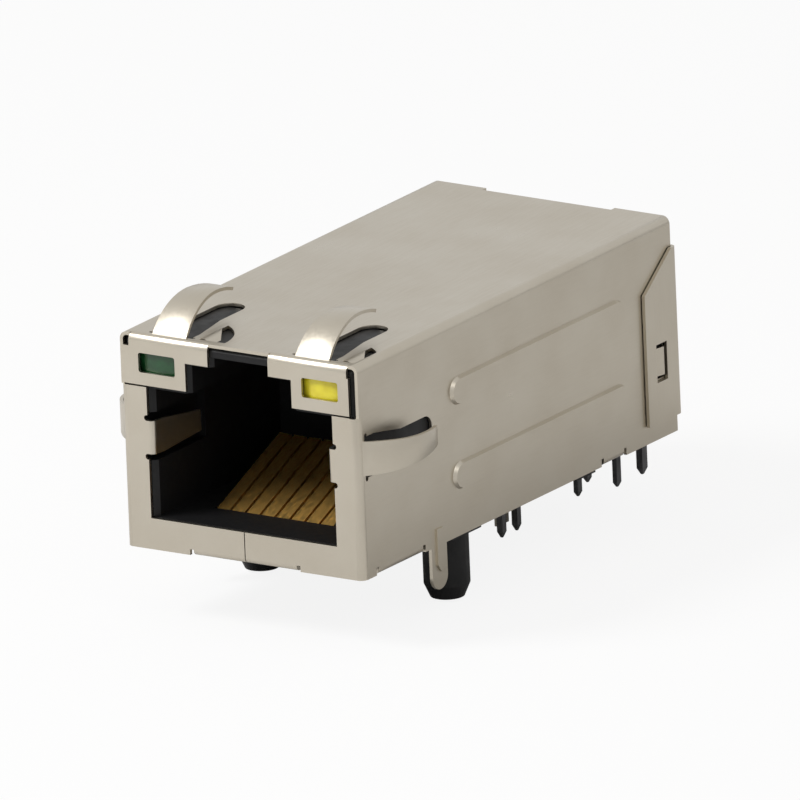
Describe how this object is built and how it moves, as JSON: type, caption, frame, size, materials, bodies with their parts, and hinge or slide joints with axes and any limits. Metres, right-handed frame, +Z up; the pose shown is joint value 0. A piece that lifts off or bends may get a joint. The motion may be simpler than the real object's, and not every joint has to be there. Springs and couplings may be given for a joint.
{
  "type": "rj45 board jack",
  "caption": "Shielded RJ45 board jack with built-in magnetics, status LEDs, grounding fingers, board pegs and solder pins.",
  "frame": {"origin": "on the circuit board surface, midway between the two locating pegs", "axes": "+X to the right as seen from the port, +Y from the port to the rear, +Z up from the board"},
  "size_m": [0.0198, 0.033, 0.0188],
  "materials": {
    "shield_metal": "satin tin-plated sheet",
    "housing_plastic": "matt black moulded thermoplastic",
    "contact_gold": "gold-plated spring bronze",
    "pin_metal": "tin-plated",
    "green_lens": "tinted epoxy, unlit",
    "yellow_lens": "tinted epoxy, unlit",
    "board": "green solder mask",
    "winding": "enamelled copper wire over ferrite",
    "ceramic": "ceramic body",
    "chip_resistor": "glazed chip"
  },
  "bodies": {
    "root": {"front_shield": "shield_metal", "rear_shield": "shield_metal", "housing": "housing_plastic", "contact_carrier": "housing_plastic", "contact_1": "contact_gold", "contact_2": "contact_gold", "contact_3": "contact_gold", "contact_4": "contact_gold", "contact_5": "contact_gold", "contact_6": "contact_gold", "contact_7": "contact_gold", "contact_8": "contact_gold", "green_led": "green_lens", "yellow_led": "yellow_lens", "green_led_leads": "pin_metal", "yellow_led_leads": "pin_metal", "magnetics_board": "board", "inner_ground_plate": "shield_metal", "pin_base": "housing_plastic", "signal_pins_front_row": "pin_metal", "signal_pins_rear_row": "pin_metal", "chassis_pins": "pin_metal", "coil_tray": "housing_plastic", "transformer_1": "winding", "transformer_2": "winding", "transformer_3": "winding", "transformer_4": "winding", "choke_1": "winding", "choke_2": "winding", "choke_3": "winding", "choke_4": "winding", "termination_resistors": "chip_resistor", "line_capacitor": "ceramic"}
  },
  "joints": []
}
